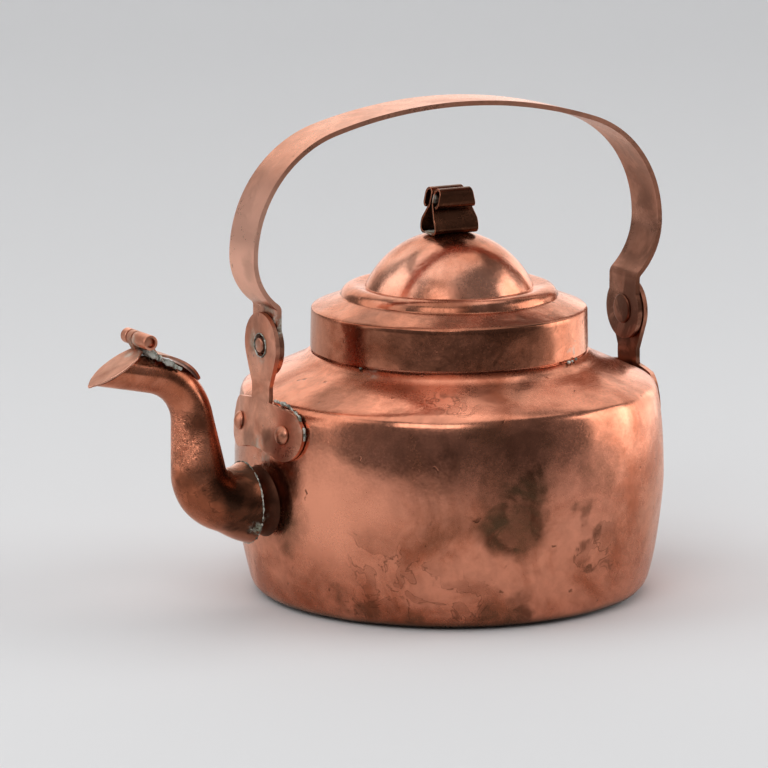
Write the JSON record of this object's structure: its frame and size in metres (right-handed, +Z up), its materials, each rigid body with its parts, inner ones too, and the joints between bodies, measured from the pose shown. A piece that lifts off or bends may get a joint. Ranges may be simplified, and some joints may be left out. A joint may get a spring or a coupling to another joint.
{
  "type": "coffee pot",
  "caption": "Round copper coffee pot with a bulging body, slip-over domed lid with a rolled knob, gooseneck spout with a hinged flap, and a swinging bail handle.",
  "frame": {"origin": "middle of the flat base, on the surface that the pot stands on", "axes": "+Z up along the pot's axis, the spout along -X, the bail's hinge along X"},
  "size_m": [0.2564, 0.1742, 0.2],
  "materials": {
    "copper_body": "worn polished copper with brown patina",
    "copper_lid": "worn polished copper with brown patina",
    "copper_spout": "worn copper, browner than the body",
    "copper_flap": "matt worn copper",
    "copper_strap": "satin copper with brown patina",
    "copper_rivet": "satin copper",
    "copper_dark": "dull brown copper",
    "copper_knob": "dark brown copper with verdigris"
  },
  "bodies": {
    "pot": {"body_shell": "copper_body", "base_plate": "copper_body", "neck_collar": "copper_body", "spout_collar": "copper_spout", "spout_tube": "copper_spout", "flap_hinge_leaf": "copper_dark", "flap_hinge_pin": "copper_dark", "front_bracket": "copper_dark", "rear_bracket": "copper_dark", "front_bracket_rivet_left": "copper_rivet", "front_bracket_rivet_right": "copper_rivet", "rear_bracket_rivet_left": "copper_rivet", "rear_bracket_rivet_right": "copper_rivet"},
    "handle": {"handle_strap": "copper_strap", "front_pivot_rivet": "copper_dark", "rear_pivot_rivet": "copper_dark"},
    "lid": {"lid_cap": "copper_lid", "lid_knob": "copper_knob", "knob_rivet": "copper_knob"},
    "flap": {"spout_flap": "copper_flap"}
  },
  "joints": [
    {"name": "handle_swing", "type": "hinge", "parent": "pot", "child": "handle", "pos_m": [0, 0, 0.1075], "axis": [1, 0, 0], "range_deg": [-100, 100]},
    {"name": "lid_lift", "type": "slide", "parent": "pot", "child": "lid", "axis": [0, 0, 1], "range_m": [0, 0.028]},
    {"name": "flap_lift", "type": "hinge", "parent": "pot", "child": "flap", "pos_m": [-0.14, 0, 0.115], "axis": [0, 1, 0], "range_deg": [0, 100]}
  ]
}
